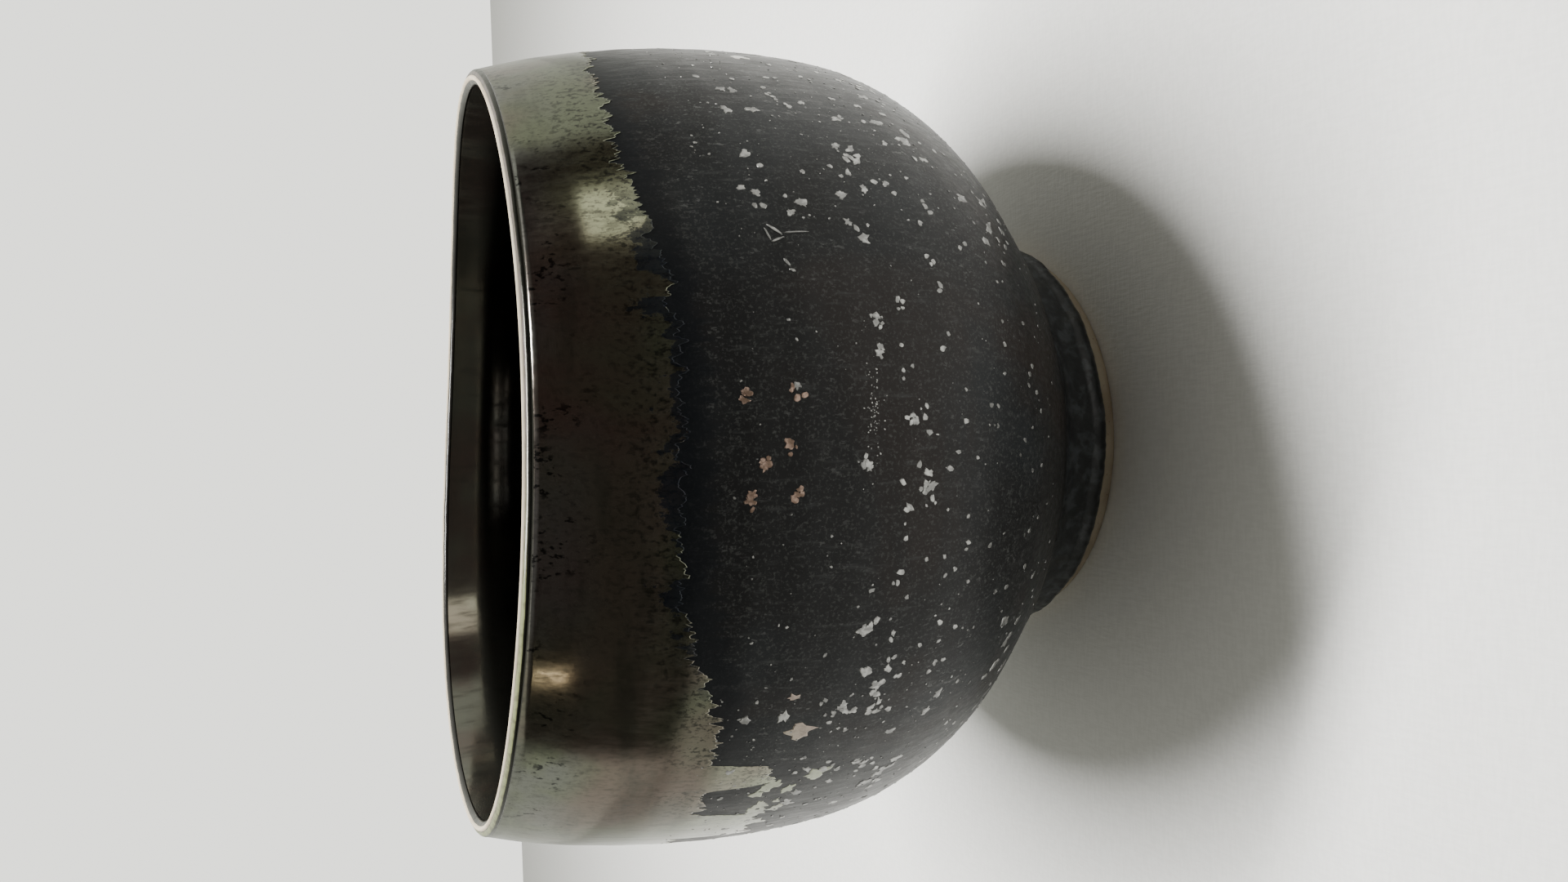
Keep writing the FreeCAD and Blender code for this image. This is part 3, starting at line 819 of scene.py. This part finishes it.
def clay_look():
    """Bare cream stoneware, a little sandy, with iron specks and fine turning lines."""
    s = Shader("bare_clay", (0.5, 0.42, 0.3), 0.85)
    warm = s.ramp(s.noise(120, 4), 0.4, 0.65)
    color = s.mix(warm, (0.44, 0.385, 0.29), (0.37, 0.31, 0.225))
    specks = s.times(s.ramp(s.cells(1400), 0.2, 0.1), s.ramp(s.noise(500, 2), 0.5, 0.6))
    color = s.over(color, specks, 0.7, (0.13, 0.075, 0.04))
    s.bump(s.plus(s.noise(1800, 4), s.times(s.cells(900), 0.5)), 0.5, 0.15)
    return s.finish(color)


def silver_look():
    """Pale grey metallic flakes with a little relief."""
    s = Shader("silver_flakes", (0.5, 0.5, 0.48), 0.42, 0.9)
    tone = s.ramp(s.noise(900, 3), 0.4, 0.65)
    s.bump(s.noise(2500, 3), 0.4, 0.06)
    return s.finish(s.mix(tone, (0.15, 0.15, 0.146), (0.31, 0.31, 0.30)))


def copper_look():
    """Pinkish brown metallic flakes with a little relief."""
    s = Shader("copper_flakes", (0.4, 0.25, 0.2), 0.42, 0.9)
    tone = s.ramp(s.noise(1300, 3), 0.4, 0.65)
    s.bump(s.noise(2500, 3), 0.4, 0.06)
    return s.finish(s.mix(tone, (0.13, 0.088, 0.066), (0.30, 0.215, 0.175)))


# ---------------------------------------------------------------- studio, in metres

CAMERA_PLACE = (0, -0.1694, 0.1087)
CAMERA_DOWN = 21.33      # degrees that the camera looks below level
CAMERA_TURN = -92.15     # degrees that it is turned about its own view, on to its side
CAMERA_LENS, CAMERA_SENSOR, CAMERA_NEAREST = 25.0, 36.0, 0.005
TABLE_FRONT, TABLE_BACK, TABLE_HALF = -1.2, 0.71, 1.6
TUBE_PLACE, TUBE_TARGET, TUBE_TURN = (0.045, 0.045, 0.50), (0.045, 0.045, 0), -20
REFLECTED_LIGHT_DISTANCE = 0.9


def area_light(name, place, target, width, height, power, color):
    """A rectangular lamp at a place, aimed at a target."""
    light = bpy.data.lights.new(name, "AREA")
    light.shape = "RECTANGLE"
    light.size, light.size_y = width, height
    light.energy = power
    light.color = color
    lamp = bpy.data.objects.new(name, light)
    lamp.location = place
    aim = Vector(target) - Vector(place)
    lamp.rotation_euler = aim.to_track_quat("-Z", "Y").to_euler()
    bpy.context.scene.collection.objects.link(lamp)
    return lamp


def seen_in(degrees, height, turn, rise, distance):
    """Where a light stands that is seen from a place on the outside at turn degrees to the right of the front
    and rise degrees up, so that the glaze mirrors it there. Gives its place and the place on the wall."""
    around, radius = front(degrees), float(outside(height)) * MM
    facing, up = front(turn), math.radians(rise)
    wall = (radius * math.cos(around), radius * math.sin(around), height * MM)
    way = (math.cos(facing) * math.cos(up), math.sin(facing) * math.cos(up), math.sin(up))
    return tuple(w + distance * d for w, d in zip(wall, way)), wall


def make_floor():
    """A pale cloth with a fine weave on a table whose back edge shows behind the bowl."""
    near, back, half = TABLE_FRONT, TABLE_BACK, TABLE_HALF
    corners = [(-half, near, 0), (half, near, 0), (half, back, 0), (-half, back, 0)]
    corners += [(-half, back + 0.01, -0.02), (half, back + 0.01, -0.02)]
    mesh = bpy.data.meshes.new("table")
    mesh.from_pydata(corners, [], [(0, 1, 2, 3), (3, 2, 5, 4)])
    s = Shader("cloth", (0.78, 0.78, 0.76), 0.9)
    weave = s.plus(s.noise(1800, 2, stretch=(1, 5, 1)), s.noise(1800, 2, stretch=(5, 1, 1)))
    s.bump(weave, 0.35, 0.15)
    color = s.mix(s.ramp(weave, 0.8, 1.2), (0.76, 0.76, 0.745), (0.80, 0.80, 0.785))
    mesh.materials.append(s.finish(color))
    table = bpy.data.objects.new("table", mesh)
    bpy.context.scene.collection.objects.link(table)


def make_world():
    """White all round to the camera. What the bowl reflects is pale behind it and dim on the near side."""
    world = bpy.data.worlds.new("studio")
    bpy.context.scene.world = world
    world.use_nodes = True
    w = Nodes(world.node_tree, "Generated")
    up = w.axis("Z")
    level = w.math("SQRT", w.math("SUBTRACT", 1.0, w.times(up, up)))
    behind = w.math("DIVIDE", w.axis("Y"), w.math("MAXIMUM", level, 0.05))
    patches = w.noise(1.6, 1.0, rough=0.5)
    dim = w.mix(w.ramp(patches, 0.40, 0.62), (0.088, 0.090, 0.074), (0.092, 0.074, 0.066))
    room = w.mix(w.ramp(up, 0.45, 0.85), dim, (0.22, 0.215, 0.20))
    reflected = w.mix(w.ramp(behind, -0.04, 0.10), room, (0.84, 0.85, 0.75))
    camera_ray = w.nodes.new("ShaderNodeLightPath").outputs["Is Camera Ray"]
    background = w.nodes["Background"]
    w.set(background.inputs["Color"], w.mix(camera_ray, reflected, (1.90, 1.90, 1.78)))
    background.inputs["Strength"].default_value = 1.0


def make_lights():
    """A tube over the bowl that throws its shadow, and two small tinted lamps that the glaze reflects."""
    tube = area_light("overhead_tube", TUBE_PLACE, TUBE_TARGET, 0.32, 0.06, 8.6, (1.0, 0.99, 0.96))
    tube.rotation_euler = (0, 0, math.radians(TUBE_TURN))
    window, target = seen_in(27, 81.5, 66, 6, REFLECTED_LIGHT_DISTANCE)
    area_light("near_window", window, target, 0.24, 0.19, 0.36, (1.0, 0.96, 0.80))
    lamp, target = seen_in(-26.3, 90.7, -66, 18, REFLECTED_LIGHT_DISTANCE)
    area_light("left_lamp", lamp, target, 0.050, 0.020, 0.05, (1.0, 0.86, 0.55))


def make_camera():
    """A close view from a little above, with the camera turned on its side."""
    camera = bpy.data.cameras.new("camera")
    camera.lens = CAMERA_LENS
    camera.sensor_width = CAMERA_SENSOR
    camera.clip_start = CAMERA_NEAREST
    seat = bpy.data.objects.new("camera", camera)
    tilt, turn = math.radians(90 - CAMERA_DOWN), math.radians(CAMERA_TURN)
    rotation = Matrix.Rotation(tilt, 4, "X") @ Matrix.Rotation(turn, 4, "Z")
    seat.matrix_world = Matrix.Translation(CAMERA_PLACE) @ rotation
    bpy.context.scene.collection.objects.link(seat)
    bpy.context.scene.camera = seat


# ---------------------------------------------------------------- the scene

def build_coats():
    """The clay and the coats of glaze. Gives the lustre, which its islands share."""
    clay = clay_look()
    angles = np.linspace(-math.pi, math.pi, EDGE_COLUMNS, endpoint=False)
    edge = band_edge(angles)
    make_vessel(clay)
    make_foot_clay(clay)
    make_lining(lining_look())
    make_satin(satin_look(), (angles, edge))
    band = band_look()
    make_band(band, angles, edge)
    make_lip(lip_look())
    make_foot_coat(foot_look())
    return band


def build_crystals(band):
    """The flakes and the islands of lustre, which share one sequence of random numbers."""
    chance = random.Random(SEED)
    kinds = [("silver", silver_places, silver_look), ("copper", copper_places, copper_look)]
    for metal, places, look in kinds:
        node = metal + "_crystals"
        make_crystals(metal + "_flakes", places(chance), chance, look(), node)
    places = island_places(chance)
    islands = make_crystals("lustre_islands", places, chance, band, "lustre_band")
    clear = [CLEAR_OF_EDGE] * len(islands.data.vertices)
    islands.data.attributes.new("edge_mm", "FLOAT", "POINT").data.foreach_set("value", clear)


make_camera()
build_crystals(build_coats())
make_floor()
make_world()
make_lights()
